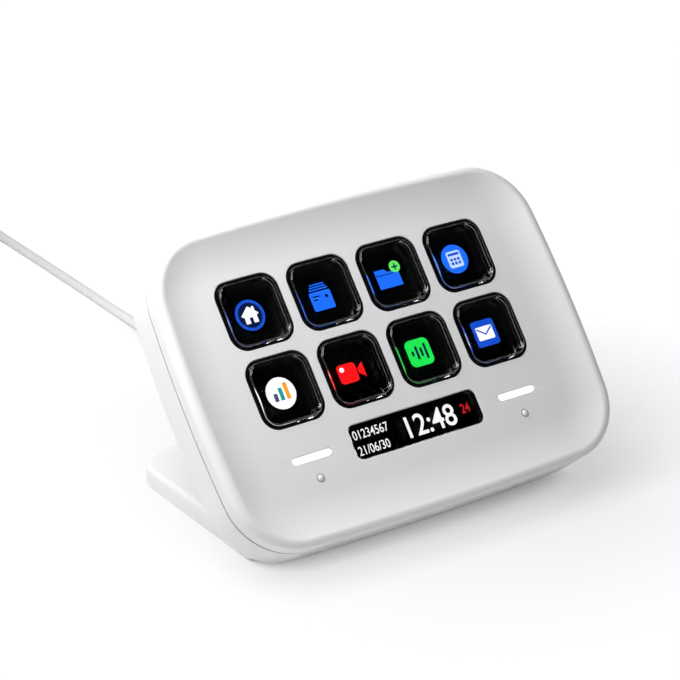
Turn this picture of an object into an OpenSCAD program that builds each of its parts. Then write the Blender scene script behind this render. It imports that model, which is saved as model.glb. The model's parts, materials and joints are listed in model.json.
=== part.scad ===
// A sloping desk keypad: eight clear sprung keys over one screen, an info bar with its own
// display, two touch points with light bars, and a captive lead, standing on a foot plate.
// Millimetres. It rests on z = 0 and the origin is the middle of its footprint box, without
// the lead. +X is to the right and +Y to the back.
// Inside the face frame, x is across, y is up the slope and z is out of the face: z = 0 is the
// flat of the face, and a level below it is written as a depth with a minus sign.

/* [Body] */
// Width of the body
body_w = 106; // [103:1:116]
// Height of the body along its slope
body_h = 75.8; // [74:0.2:84]
// Radius of the four corners of the face
corner_r = 17; // [15.5:0.5:21]
// Slope of the face above the table
tilt = 50; // [46:1:56]
// Depth of the parting seam below the flat of the face
seam_depth = 2.5; // [2.3:0.1:3.2]
// Depth of the body's back below the flat of the face
body_depth = 13; // [13:0.1:15]
// Rounding along the edge of the back
back_r = 3.3; // [2.8:0.1:3.4]
// Wall of both shells
wall = 1.8; // [1.6:0.1:2]
// Gap between the table and the body's lowest edge
lift = 1.4; // [1:0.1:1.8]

/* [Face] */
// Thickness of the flat of the face
face_t = 1.2; // [1:0.1:1.4]
// Height of the rim above the flat
dish_depth = 2.2; // [1.6:0.1:2.8]
// Width of the rim and its hollow slope together
dish_w = 11.4; // [10:0.1:12]
// Rounding of the rim's crest
lip_r = 2; // [1.6:0.1:2.1]

/* [Keys] */
// Distance from one key's centre to the next
key_pitch = 19; // [18.8:0.1:19.4]
// Middle of the key group above the middle of the body
keys_y = 7.6; // [7:0.1:8.4]
// Side of a key's opening in the face
opening_w = 16.7; // [16.6:0.1:16.9]
// Corner radius of a key's opening
opening_r = 4; // [3.5:0.1:4.5]
// Wall of the black collar inside an opening
collar_t = 0.45; // [0.4:0.05:0.5]
// Gap round a key in its collar
key_gap = 0.2; // [0.15:0.05:0.25]
// Height of a key's top above the flat of the face
key_rise = 0.7; // [0.5:0.1:1]
// Rounding along a key's top edge
key_edge_r = 0.8; // [0.5:0.1:1]
// Travel of a key
key_travel = 1; // [0.8:0.1:1.1]
// Thickness of a key's foot flange
flange_t = 0.4; // [0.4:0.05:0.5]
// How far the flange reaches beyond the collar's opening
flange_reach = 0.55; // [0.45:0.05:0.6]

/* [Screen] */
// Thickness of the guide grid's plate
grid_t = 0.5; // [0.5:0.05:0.6]
// Thickness of the silicone mat without its beads
mat_t = 0.3; // [0.3:0.05:0.35]
// Height of the mat's bead under a pressed key
bead_h = 0.25; // [0.2:0.05:0.3]
// Thickness of the contact sheet
contact_t = 0.15; // [0.1:0.05:0.2]
// Thickness of the screen panel
screen_t = 1.3; // [1.2:0.05:1.4]
// Thickness of the backlight sheet
backlight_t = 0.5; // [0.45:0.05:0.6]
// Thickness of the screen tray
tray_t = 0.6; // [0.5:0.05:0.7]

/* [Info bar] */
// Width of the info window
info_w = 35.4; // [34:0.2:37]
// Height of the info window
info_h = 8.4; // [8:0.1:8.8]
// Corner radius of the info window
info_r = 1.8; // [1.4:0.1:2.2]
// Middle of the info window below the middle of the body
info_drop = 18; // [17.8:0.1:18.4]
// Length of a light bar
bar_len = 10.2; // [9.8:0.1:10.8]
// Width of a light bar
bar_w = 1.4; // [1.2:0.1:1.6]
// Gap between a light bar and its slot
bar_gap = 0.15; // [0.1:0.05:0.2]
// Middle of a light bar from the middle of the body
bar_x = 28.5; // [28:0.1:29.4]
// Distance from a light bar down to its touch point
nub_drop = 5.1; // [4.8:0.1:5.4]
// Radius of a touch point's nub
nub_r = 0.8; // [0.6:0.05:0.85]

/* [Board] */
// Gap between the screen tray and the main board
board_gap = 0.5; // [0.4:0.05:0.6]
// Thickness of the main board
board_t = 1.2; // [1:0.05:1.3]
// Gap between the shells' inside and the board's edge
board_clear = 1.2; // [1:0.1:1.6]

/* [Stand] */
// Width of the stand
stand_w = 86; // [80:1:88]
// Distance from the body's lowest edge back to the foot's rear end
foot_len = 59; // [55:1:66]
// Height of the foot plate's top above the table
foot_top = 5; // [4.8:0.1:5.2]
// Plan radius of the foot plate's rear corners
foot_corner_r = 9; // [7:0.5:12]
// Thickness of the flange behind the body
stand_t = 3; // [2.6:0.1:3.4]
// Height of the flange's top below the middle of the body
flange_drop = 10; // [9:0.5:12]
// Thickness of the rubber pad under the foot
pad_t = 1; // [0.8:0.1:1.4]
// How far the pad stands out of the foot plate
pad_proud = 0.4; // [0.3:0.1:0.7]

/* [Lead] */
// Height of the lead's axis where it leaves the body
lead_z = 10.8; // [10.6:0.1:11.4]
// Diameter of the lead
lead_d = 2.5; // [2.4:0.1:2.6]
// Length of the tapered strain relief outside its flange
relief_len = 16; // [14:1:20]
// Radius of the strain relief at its root
relief_r = 2.6; // [2.4:0.1:2.8]

/* [Hidden] */

fine = 64;        // facets of a full circle where a true curve is rebuilt
coarse = 32;      // facets of a circle inside a hull
arc_steps = 8;    // steps along one rounded stretch of an outline
fit_gap = 0.15;   // gap between fixed parts that are pushed together
seam_v = 0.3;     // bevel of each shell along the parting seam
tongue_h = 1.2;   // height of the rear shell's tongue inside the front shell

// ---- Centres of the corner arcs of the outline ----
corner_x = body_w / 2 - corner_r;
corner_y = body_h / 2 - corner_r;

function on_arc(centre, r, a) = centre + r * [cos(a), sin(a)];
// The points of an arc, with and without its last one
function open_arc(centre, r, from, to) =
  [for (i = [0:arc_steps - 1]) on_arc(centre, r, from + (to - from) * i / arc_steps)];
function arc(centre, r, from, to) =
  concat(open_arc(centre, r, from, to), [on_arc(centre, r, to)]);

// ---- Levels below the flat of the face ----
grid_back = face_t + grid_t;
flange_back = grid_back + flange_t;
mat_front = flange_back + key_travel + 0.05;
mat_back = mat_front + bead_h + mat_t;
screen_front = mat_back + contact_t;
screen_back = screen_front + screen_t;
backlight_back = screen_back + backlight_t;
tray_back = backlight_back + tray_t;
board_front = tray_back + board_gap;
board_back = board_front + board_t;
shell_inside = body_depth - wall;
key_bottom = screen_front - key_travel - 0.2;

// ---- Sizes across the face ----
collar_out = opening_w - 2 * fit_gap;
collar_in = collar_out - 2 * collar_t;
collar_in_r = opening_r - fit_gap - collar_t;
key_w = collar_in - 2 * key_gap;
key_r = collar_in_r - key_gap;
key_flange_w = collar_in + 2 * flange_reach;
screen_w = 3 * key_pitch + key_flange_w;
screen_h = key_pitch + key_flange_w;
tray_in_w = screen_w + 2 * fit_gap;
tray_in_h = screen_h + 2 * fit_gap;
tray_w = tray_in_w + 2 * tray_t;
tray_h = tray_in_h + 2 * tray_t;
tray_r = 1.5;
info_rim = 1;                          // rim of the info window behind the face
info_y = -info_drop;
info_rim_back = grid_back;
info_display_t = 1.5;
info_display_back = info_rim_back + info_display_t;
nub_y = info_y - nub_drop;

// ---- Screws and bosses ----
case_inset_x = 15.5;                   // the case screws from the body's sides
case_tray_gap = 2.75;                  // and clear of the tray's upper edge
case_screw_x = body_w / 2 - case_inset_x;
case_screw_y = keys_y + tray_h / 2 + case_tray_gap;
case_boss_r = 2.8;
case_bore_r = 1.05;
case_head_r = 2.3;
case_head_h = 1.5;
case_head_sink = 0.3;                  // depth of a case screw's head below the back
case_tip = 2;                          // boss left between a case screw's end and the face
case_joint = 9;                        // depth at which the two shells' bosses meet
screen_ear = 4.2;                      // reach of the tray's ears beyond its walls
screen_screw_x = tray_w / 2 + 2.2;
screen_screw_y = key_pitch * 0.6;
screen_boss_r = 1.9;
small_bore_r = 0.8;
small_head_r = 1.5;
small_head_h = 0.8;
board_screw_side = [body_w / 2 - wall - board_clear - 3.9, keys_y];
board_screw_low = [22, 9.2 - body_h / 2];
board_boss_r = 2.4;
stand_screw_x = stand_w / 2 - 14;
stand_screw_y = -flange_drop - 8;
stand_bore_r = 1.05;
stand_head_r = 2.2;

// ---- Place of the face frame: its origin is on the flat, in the middle of the body ----
face_z = lift + back_r + (body_h / 2 - back_r) * sin(tilt) + (body_depth - back_r) * cos(tilt);
low_edge_dy = -(body_h / 2 - back_r) * cos(tilt) + (body_depth - back_r) * sin(tilt);
front_dy = -(body_h / 2 - lip_r) * cos(tilt) - (dish_depth - lip_r) * sin(tilt) - lip_r;
face_y = -(front_dy + low_edge_dy + foot_len) / 2;
foot_end = face_y + low_edge_dy + foot_len;

// The body's back plane, moved out by a gap, where it is at height z
function back_y(z, out = 0) = face_y + (body_depth + out) * sin(tilt)
  + (z - face_z + (body_depth + out) * cos(tilt)) * cos(tilt) / sin(tilt);
// A point of the face frame [up the slope, out of the face] as [y, z] of the table frame
function slope(p) = [face_y + p[0] * cos(tilt) - p[1] * sin(tilt),
                     face_z + p[0] * sin(tilt) + p[1] * cos(tilt)];

// ---- Lead outlet ----
socket_r = 4.6;
socket_bore = relief_r + 0.1;
socket_out = back_y(lead_z + socket_r) + 0.8;
socket_in = back_y(lead_z - socket_r) - wall / sin(tilt) - 0.8;
clip_t = 1.2;
relief_flange = 1.2;
relief_head = 1.4;        // length of the strain relief's head inside the clip
groove_deep = 0.7;        // depth of the clip's groove in the strain relief
relief_end = socket_out + relief_flange + relief_len;

// ---- Coil of the spare lead, on the table behind the stand ----
coil_in_r = 9.4;
coil_out_r = 19.4;
coil_h = 10;
coil_x = -17.15;
coil_y = 205;
tie_t = 0.5;

// ---- Route of the lead from its strain relief to the coil, and from the coil to the plug ----
LEAD = [
  [0, relief_end, 10.8], [0, 13, 10.7], [0, 18, 10.3], [0, 23, 9.6], [0, 28, 8.6], [0, 33, 7.3],
  [0, 38, 5.8], [0, 43, 4.3], [0, 48, 3], [0.1, 53, 2.1], [0.2, 58, 1.5], [0.3, 64, 1.25],
  [0.4, 71, 1.25], [0.5, 78, 1.25], [0.6, 85, 1.25], [0.7, 92, 1.25], [0.8, 99, 1.25],
  [0.9, 106, 1.25], [1, 113, 1.25], [1, 120, 1.25], [1, 127, 1.25], [1.1, 134, 1.25],
  [1.1, 141, 1.25], [1.1, 148, 1.25], [1.1, 155, 1.25], [1.1, 162, 1.25], [1, 169, 1.25],
  [1, 176, 1.25], [1, 182, 1.25], [1, 187, 1.3], [1, 193, 1.5], [1, 198, 1.75]
];
TAIL = [
  [1, 212, 9.2], [1, 217, 8.1], [1, 222, 6.4], [1, 227, 4.6], [1, 232, 3.3], [1, 237, 2.8]
];

module face_frame() {
  translate([0, face_y, face_z]) rotate([tilt, 0, 0]) children();
}

// A round-cornered rectangle about the middle
module rrect(w, h, r) {
  square([w - 2 * r, h], center = true);
  square([w, h - 2 * r], center = true);
  for (x = [-1, 1]) for (y = [-1, 1])
    translate([x * (w / 2 - r), y * (h / 2 - r)]) circle(r, $fn = fine);
}

// A slot with round ends
module slot(len, w) {
  square([len - w, w], center = true);
  for (x = [-1, 1]) translate([x * (len - w) / 2, 0]) circle(d = w, $fn = fine);
}

// A thin ribbon seen from its edge, along a path of upright and level stretches
module ribbon(path) {
  for (i = [1:len(path) - 1]) {
    a = path[i - 1];
    b = path[i];
    low = [min(a[0], b[0]), min(a[1], b[1])];
    high = [max(a[0], b[0]), max(a[1], b[1])];
    translate(low - [flex_t, flex_t] / 2) square(high - low + [flex_t, flex_t]);
  }
}

// A flat piece between two depths below the flat of the face
module layer(front, back) {
  translate([0, 0, -back]) linear_extrude(back - front) children();
}

module rod(r, front, back) {
  translate([0, 0, -back]) cylinder(r = r, h = back - front, $fn = fine);
}

// Sweeps a profile, drawn as [distance in from the outline, height], all round the body
module around_body() {
  for (turn = [0:3]) {
    across = turn % 2 == 0;
    corner = [[1, 1], [-1, 1], [-1, -1], [1, -1]][turn];
    translate([corner[0] * corner_x, corner[1] * corner_y, 0]) rotate(90 * turn)
      rotate_extrude(angle = 90, $fn = fine) translate([corner_r, 0]) mirror([1, 0]) children();
    rotate(90 * turn) translate([across ? body_w / 2 : body_h / 2, 0, 0]) rotate([90, 0, 0])
      linear_extrude(2 * (across ? corner_y : corner_x), center = true)
        mirror([1, 0]) children();
  }
}

module body_layer(inset, front, back) {
  layer(front, back) rrect(body_w - 2 * inset, body_h - 2 * inset, corner_r - inset);
}

module at_keys() {
  for (i = [0:7]) translate(key_place(i)) children();
}

function key_place(i) = [(i % 4 - 1.5) * key_pitch, keys_y + (0.5 - floor(i / 4)) * key_pitch, 0];

module four(x, y) {
  for (sx = [-1, 1]) for (sy = [-1, 1]) translate([sx * x, sy * y, 0]) children();
}

module pair(x, y) {
  for (sx = [-1, 1]) translate([sx * x, y, 0]) children();
}

module at_screen_screws() {
  translate([0, keys_y, 0]) four(screen_screw_x, screen_screw_y) children();
}

module at_board_screws() {
  pair(board_screw_side[0], board_screw_side[1]) children();
  pair(board_screw_low[0], board_screw_low[1]) children();
}

// ---- Shells ----

// Rim of the front shell: bevelled foot, upright side, round crest and hollow slope
dish_r = (pow(dish_w - lip_r, 2) + pow(dish_depth - lip_r, 2) - lip_r * lip_r)
  / (2 * dish_depth);
crest_a = atan2(dish_r - dish_depth + lip_r, dish_w - lip_r);
rim_inside_a = acos((dish_w - wall) / (dish_r + face_t));
flat_lap = 1.5;
module rim_profile() {
  polygon(concat(
    [[seam_v, -seam_depth], [0, seam_v - seam_depth]],
    open_arc([lip_r, dish_depth - lip_r], lip_r, 180, crest_a),
    arc([dish_w, dish_r], dish_r, 180 + crest_a, 270),
    [[dish_w + flat_lap, 0], [dish_w + flat_lap, -face_t]],
    arc([dish_w, dish_r], dish_r + face_t, 270, 180 + rim_inside_a),
    [[wall, tongue_h + 0.1 - seam_depth], [wall / 2 - 0.05, tongue_h + 0.1 - seam_depth],
     [wall / 2 - 0.05, -seam_depth]]
  ));
}

module front_shell() {
  color("white") face_frame() difference() {
    union() {
      around_body() rim_profile();
      body_layer(dish_w + flat_lap / 2, 0, face_t);
      four(case_screw_x, case_screw_y) rod(case_boss_r, face_t / 4, case_joint);
      at_screen_screws() rod(screen_boss_r, face_t / 2, backlight_back);
      pair(bar_x, nub_y) translate([0, 0, -nub_r / 3]) sphere(nub_r, $fn = fine);
    }
    at_keys() layer(-1, face_t + 1) rrect(opening_w, opening_w, opening_r);
    translate([0, info_y, 0]) layer(-1, face_t + 1) rrect(info_w, info_h, info_r);
    pair(bar_x, info_y) layer(-1, face_t + 1) slot(bar_len + 2 * bar_gap, bar_w + 2 * bar_gap);
    four(case_screw_x, case_screw_y) rod(case_bore_r, face_t + 0.8, case_joint + 1);
    at_screen_screws() rod(small_bore_r, face_t + 0.8, backlight_back + 1);
  }
}

// Side of the rear shell, with its tongue at the seam and its round back edge
module rear_profile() {
  polygon(concat(
    [[wall, -shell_inside], [wall, tongue_h - seam_depth], [wall / 2 + 0.05, tongue_h - seam_depth],
     [wall / 2 + 0.05, -seam_depth], [seam_v, -seam_depth], [0, -seam_v - seam_depth]],
    arc([back_r, back_r - body_depth], back_r, 180, 270),
    [[back_r + flat_lap, -body_depth], [back_r + flat_lap, -shell_inside]]
  ));
}

module along_lead(y) {
  translate([0, y, lead_z]) rotate([-90, 0, 0]) children();
}

module rear_shell() {
  color("white") difference() {
    union() {
      face_frame() {
        around_body() rear_profile();
        body_layer(back_r + flat_lap / 2, shell_inside, body_depth);
        four(case_screw_x, case_screw_y) rod(case_boss_r, case_joint, body_depth - wall / 2);
        at_board_screws() rod(board_boss_r, board_back, body_depth - wall / 2);
        pair(stand_screw_x, stand_screw_y)
          rod(board_boss_r, board_back + 0.6, body_depth - wall / 2);
      }
      along_lead(socket_in) cylinder(r = socket_r, h = socket_out - socket_in, $fn = fine);
    }
    along_lead(socket_in - 1)
      cylinder(r = socket_bore, h = socket_out - socket_in + 2, $fn = fine);
    face_frame() {
      four(case_screw_x, case_screw_y) {
        rod(case_bore_r + 0.3, case_joint - 1, body_depth + 1);
        rod(case_head_r + 0.2, body_depth - case_head_h - case_head_sink, body_depth + 1);
      }
      at_board_screws() rod(small_bore_r, board_back - 1, shell_inside + 0.6);
      pair(stand_screw_x, stand_screw_y)
        rod(stand_bore_r, board_back + 1.4, body_depth + 1);
    }
  }
}

// ---- Keys and their screen ----

module key_grid() {
  color("black") face_frame() difference() {
    union() {
      translate([0, keys_y, 0]) layer(face_t, grid_back) rrect(tray_w, tray_h, tray_r);
      at_keys() layer(fit_gap, grid_back)
        rrect(collar_out, collar_out, opening_r - fit_gap);
    }
    at_keys() layer(0, grid_back + 1) rrect(collar_in, collar_in, collar_in_r);
    at_screen_screws() rod(screen_boss_r + fit_gap, 0, grid_back + 1);
  }
}

// A clear key: a block with a rounded top edge on a foot flange that the grid holds in
module key_cap(i) {
  round_a = [0, 30, 60, 90];
  color([0.85, 0.9, 0.95, 0.5]) face_frame() translate(key_place(i)) {
    hull() {
      layer(key_bottom - 0.01, key_bottom) rrect(key_w, key_w, key_r, $fn = coarse);
      for (a = round_a) {
        inset = key_edge_r * (1 - cos(a));
        top = key_rise - key_edge_r * (1 - sin(a));
        layer(-top, 0.01 - top)
          rrect(key_w - 2 * inset, key_w - 2 * inset, key_r - inset);
      }
    }
    layer(grid_back, flange_back)
      rrect(key_flange_w, key_flange_w, collar_in_r + flange_reach);
  }
}

module screen_layer(front, back) {
  translate([0, keys_y, 0]) layer(front, back) rrect(screen_w, screen_h, 1);
}

module key_mat() {
  window = key_w + 0.6;
  color("gainsboro") face_frame() difference() {
    union() {
      screen_layer(mat_front + bead_h, mat_back);
      at_keys() layer(mat_front, mat_back - mat_t / 2)
        rrect(key_flange_w, key_flange_w, collar_in_r + flange_reach);
    }
    at_keys() layer(mat_front - 1, mat_back + 1) rrect(window, window, key_r + 0.3);
  }
}

module contact_sheet() {
  window = key_w + 0.6;
  color("goldenrod") face_frame() difference() {
    screen_layer(mat_back, screen_front);
    at_keys() layer(mat_back - 1, screen_front + 1) rrect(window, window, key_r + 0.3);
  }
}

module screen_panel() {
  color([0.05, 0.05, 0.07]) face_frame() screen_layer(screen_front, screen_back);
}

module backlight_sheet() {
  color("whitesmoke") face_frame() screen_layer(screen_back, backlight_back);
}

flex_w = 14;
module screen_tray() {
  color("silver") face_frame() difference() {
    union() {
      translate([0, keys_y, 0]) layer(grid_back, tray_back) rrect(tray_w, tray_h, tray_r);
      translate([0, keys_y, 0]) for (y = [-1, 1])
        layer(backlight_back, tray_back) translate([0, y * screen_screw_y])
          rrect(tray_w + 2 * screen_ear, 4.4, 1.5);
    }
    translate([0, keys_y, 0]) layer(0, backlight_back) rrect(tray_in_w, tray_in_h, 1);
    translate([0, keys_y + tray_h / 2, 0]) layer(screen_front, tray_back + 1)
      square([flex_w + 1, 4 * tray_t], center = true);
    at_screen_screws() rod(small_bore_r + 0.2, 0, tray_back + 1);
  }
}

// A pan-head screw whose head is seated at a depth and whose shank points out of the face
module back_screw(r, head_r, head_h, seat, len) {
  difference() {
    union() {
      rod(head_r, seat, seat + head_h);
      rod(r, seat - len, seat + head_h / 2);
    }
    layer(seat + head_h * 0.45, seat + head_h + 1)
      for (a = [0, 90]) rotate(a) square([head_r * 1.1, head_r * 0.3], center = true);
  }
}

module screen_screws() {
  color("dimgray") face_frame() at_screen_screws()
    back_screw(small_bore_r, small_head_r, board_gap * 0.8, tray_back,
               tray_back - face_t - 1.2);
}

// Ribbon of the screen: round the tray's upper edge, down its back and through the board
flex_t = 0.15;
flex_slot_y = keys_y + tray_h / 2 - 9;
module screen_flex() {
  top = keys_y + screen_h / 2;
  color("peru") face_frame() rotate([90, 0, 90]) linear_extrude(flex_w, center = true)
    ribbon([[top + flex_t / 2, -screen_back + 0.4], [top + 1.2, -screen_back + 0.4],
            [top + 1.2, -tray_back - flex_t / 2], [flex_slot_y, -tray_back - flex_t / 2],
            [flex_slot_y, -board_back - 0.9], [flex_slot_y - 5.5, -board_back - 0.9]]);
}

// ---- Info bar, light bars and touch points ----

module info_window() {
  color([0.08, 0.08, 0.1, 0.6]) face_frame() translate([0, info_y, 0]) {
    layer(0.05, face_t + 0.1)
      rrect(info_w - 2 * fit_gap, info_h - 2 * fit_gap, info_r - fit_gap);
    layer(face_t, info_rim_back) rrect(info_w + 2 * info_rim, info_h + 2 * info_rim, info_r);
  }
}

module info_display() {
  color([0.05, 0.05, 0.08]) face_frame() translate([0, info_y, 0])
    layer(info_rim_back, info_display_back)
      rrect(info_w + 2 * info_rim, info_h + 1.2, 0.6);
}

holder_wall = 0.7;
module info_holder() {
  inner_w = info_w + 2 * info_rim + 2 * fit_gap;
  inner_h = info_h + 1.2 + 2 * fit_gap;
  color("dimgray") difference() {
    face_frame() translate([0, info_y, 0]) difference() {
      layer(info_rim_back - 0.2, board_front)
        rrect(inner_w + 2 * holder_wall, inner_h + 2 * holder_wall, 1);
      layer(face_t, info_rim_back) rrect(inner_w, info_h + 2 * info_rim + 1, 0.8);
      layer(face_t, info_display_back) rrect(inner_w, inner_h, 0.6);
      layer(info_display_back + 1, board_front + 1) rrect(info_w, info_h - 1, 1);
      translate([-info_w / 4, -info_h / 2 - 1, 0])
        layer(info_display_back - 0.6, board_front + 1) square([7, 4.4], center = true);
    }
    along_lead(socket_in - 1) cylinder(r = socket_r + 0.3, h = 10, $fn = fine);
  }
}

module info_flex() {
  start = info_y - info_h / 2;
  color("peru") face_frame() translate([-info_w / 4, 0, 0]) rotate([90, 0, 90])
    linear_extrude(6, center = true)
      ribbon([[start + 1, -info_display_back - flex_t / 2],
              [start - 1.8, -info_display_back - flex_t / 2], [start - 1.8, 0.6 - board_front],
              [start - 5.1, 0.6 - board_front]]);
}

// A clear bar with a shoulder behind its slot in the face and a stem to the lamps
module light_pipe(side) {
  color([1, 1, 1, 0.8]) face_frame() translate([side * bar_x, info_y, 0]) {
    layer(0, face_t + 0.1) slot(bar_len, bar_w);
    layer(face_t, face_t + 0.6) rrect(bar_len + 2, bar_w + 2, 1);
    layer(face_t + 0.5, board_front - 0.9) rrect(bar_len - 1, bar_w + 0.8, 0.8);
  }
}

module indicator_leds() {
  color("lightyellow") face_frame() pair(bar_x, info_y)
    for (x = [-1, 1]) translate([x * bar_len / 4, 0, 0])
      layer(board_front - 0.7, board_front) square([2, 1.25], center = true);
}

// The sensing spring behind a touch point: a disc on the face and close turns on the board
module touch_spring(side) {
  turns = 6;
  disc_back = face_t + 0.5;
  lap = 0.55;                       // radius of a turn's wire, as a share of the turns' pitch
  pitch = (board_front - disc_back) / (turns - 1 + 2 * lap);
  color("gold") face_frame() translate([side * bar_x, nub_y, 0]) {
    rod(2.3, face_t, disc_back + 0.1);
    for (i = [0:turns - 1]) translate([0, 0, -disc_back - (i + lap) * pitch])
      rotate_extrude($fn = fine) translate([1.7, 0]) circle(lap * pitch, $fn = fine);
  }
}

// ---- Board ----

notch_w = 14;
notch_top = -20;
module main_board() {
  color("darkgreen") face_frame() difference() {
    body_layer(wall + board_clear, board_front, board_back);
    four(case_screw_x, case_screw_y) rod(case_boss_r + 0.8, board_front - 1, board_back + 1);
    layer(board_front - 1, board_back + 1) {
      translate([0, notch_top - body_h / 2]) square([notch_w, body_h], center = true);
      translate([0, flex_slot_y]) square([flex_w + 2, 1.6], center = true);
    }
    at_board_screws() rod(small_bore_r + 0.3, board_front - 1, board_back + 1);
  }
}

module board_screws() {
  color("dimgray") face_frame() at_board_screws() translate([0, 0, -board_front])
    rotate([180, 0, 0]) translate([0, 0, board_front])
      back_screw(small_bore_r, small_head_r, small_head_h, board_front,
                 shell_inside - board_front);
}

module chip(w, h, t, x, y) {
  translate([x, y, 0]) layer(board_back, board_back + t) square([w, h], center = true);
}

chip_inset = 33.5;        // the processor's middle from the body's right side
chip_gap = 13;            // from the processor's middle to the memory's
module processor_chip() {
  color([0.1, 0.1, 0.1]) face_frame() chip(12, 12, 1.2, body_w / 2 - chip_inset, 6);
}

module memory_chip() {
  color([0.12, 0.12, 0.12]) face_frame()
    chip(6, 5, 0.9, body_w / 2 - chip_inset + chip_gap, 9);
}

lead_socket = [15, 7.5 - body_h / 2];
module board_connectors() {
  color("ivory") face_frame() {
    translate([0, flex_slot_y - 7.5, 0]) layer(board_back, board_back + 1.6)
      square([flex_w + 3, 4], center = true);
    translate([-info_w / 4, info_y - info_h / 2 - 6.6, 0])
      layer(board_front - 1, board_front) square([8, 3], center = true);
    translate([lead_socket[0], lead_socket[1], 0])
      layer(board_front - 2.4, board_front) square([6, 5], center = true);
  }
}

// ---- Lead, from the board's socket to the outlet ----

function unit(v) = v / norm(v);
function heading(path, i) = unit(path[min(i + 1, len(path) - 1)] - path[max(i - 1, 0)]);
function across(t) = abs(t[2]) > 0.95 ? unit(cross(t, [0, 1, 0])) : unit(cross(t, [0, 0, 1]));

// A tube of eight sides along a path
module tube(path, r, sides = 8) {
  rings = [for (i = [0:len(path) - 1]) let (t = heading(path, i), a = across(t), b = cross(a, t))
    for (k = [0:sides - 1])
      path[i] + r * (cos(360 * k / sides) * a + sin(360 * k / sides) * b)];
  last = (len(path) - 1) * sides;
  polyhedron(rings, concat(
    [[for (k = [sides - 1:-1:0]) k]],
    [for (i = [0:len(path) - 2]) for (k = [0:sides - 1])
      [i * sides + k, i * sides + (k + 1) % sides,
       (i + 1) * sides + (k + 1) % sides, (i + 1) * sides + k]],
    [[for (k = [0:sides - 1]) last + k]]));
}

function face_point(p) = [p[0], slope([p[1], p[2]])[0], slope([p[1], p[2]])[1]];
module inner_lead() {
  inside_end = [0, socket_in - clip_t - relief_head, lead_z];
  plug_z = 1.3 - board_front;
  color("gray") tube([
    inside_end,
    inside_end + [0.4, -1.6, 0],
    face_point([1.8, 5.8 - body_h / 2, plug_z + 1.2]),
    face_point([4.2, 5.6 - body_h / 2, plug_z + 1]),
    face_point([7.4, 6 - body_h / 2, plug_z + 0.5]),
    face_point([lead_socket[0] - 3, lead_socket[1], plug_z])
  ], 0.85);
}

// ---- Screws of the case and the stand ----

module case_screws() {
  seat = body_depth - case_head_h - case_head_sink;
  color("dimgray") face_frame() four(case_screw_x, case_screw_y)
    back_screw(case_bore_r, case_head_r, case_head_h, seat, seat - face_t - case_tip);
}

stand_seat = body_depth + 1.4;
module stand_screws() {
  color("dimgray") face_frame() pair(stand_screw_x, stand_screw_y)
    back_screw(stand_bore_r, stand_head_r, 1.3, stand_seat, stand_seat - board_back - 1.6);
}

// ---- Stand ----

// Side view of the foot plate and the round inner corner to the flange, as [y, z]
blend_r = 7;
foot_end_r = 2;
flange_step = 0.5;        // step at each side from the foot plate in to the flange
stand_inset = 2.5;        // how far the stand stays inside the body's outline
module foot_profile() {
  out = stand_t / 2;
  half = (180 - tilt) / 2;
  corner = [back_y(foot_top, stand_t), foot_top];
  reach = blend_r / tan(tilt / 2);
  polygon(concat(
    [[back_y(pad_proud, out), pad_proud], [foot_end - 1, pad_proud]],
    arc([foot_end - foot_end_r, foot_top - foot_end_r], foot_end_r, -20, 90),
    arc([corner[0] + reach, foot_top + blend_r], blend_r, 270, 270 - 2 * half),
    [[back_y(foot_top + reach * sin(tilt), out), foot_top + reach * sin(tilt)]]
  ));
}

module stand() {
  plan_len = 2 * (foot_end - face_y);
  lead_way = socket_r + 0.6;
  color("white") difference() {
    intersection() {
      union() {
        intersection() {
          rotate([90, 0, 90]) linear_extrude(stand_w, center = true) foot_profile();
          translate([0, foot_end - plan_len / 2, 0]) linear_extrude(body_h)
            rrect(stand_w, plan_len, foot_corner_r);
        }
        face_frame() translate([0, -flange_drop - body_h / 4, 0])
          layer(body_depth, body_depth + stand_t)
            rrect(stand_w - 2 * flange_step, body_h / 2, 6);
      }
      face_frame() body_layer(stand_inset, body_depth - 1, 2 * foot_len);
    }
    translate([0, 0, -body_h]) linear_extrude(body_h + pad_proud)
      square([2 * body_w, 4 * body_h], center = true);
    along_lead(back_y(lead_z) - 15)
      cylinder(r = lead_way, h = 60, $fn = fine);
    translate([0, 0, -0.01]) pad_block(pad_t + 0.01, fit_gap);
    face_frame() pair(stand_screw_x, stand_screw_y) {
      rod(stand_bore_r + 0.25, body_depth - 1, body_depth + stand_t + 1);
      rod(stand_head_r + 0.25, stand_seat, body_depth + stand_t + 12);
    }
  }
}

pad_inset = 4;
module pad_block(t, gap) {
  front = back_y(0) + pad_inset + 2;
  back = foot_end - pad_inset;
  translate([0, (front + back) / 2, 0]) linear_extrude(t)
    rrect(stand_w - 2 * pad_inset + 2 * gap, back - front + 2 * gap, 4 + gap);
}

module foot_pad() {
  color([0.25, 0.25, 0.25]) pad_block(pad_t, 0);
}

// ---- Lead outside the body ----

module strain_relief() {
  neck = socket_in - clip_t;
  root = socket_out + relief_flange;
  color("white") along_lead(0) difference() {
    rotate_extrude($fn = fine) polygon([
      [0, neck - relief_head], [relief_r, neck - relief_head], [relief_r, neck],
      [relief_r - groove_deep, neck], [relief_r - groove_deep, socket_in], [relief_r, socket_in],
      [relief_r, socket_out], [socket_r - 0.4, socket_out], [socket_r - 0.4, root],
      [relief_r, root], [lead_d / 2 + 0.4, relief_end], [0, relief_end]
    ]);
    for (i = [1:5]) translate([0, 0, root + i * relief_len / 7])
      rotate_extrude($fn = fine) translate([relief_r + 0.3 - i * 0.1, 0]) circle(0.5, $fn = fine);
  }
}

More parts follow.
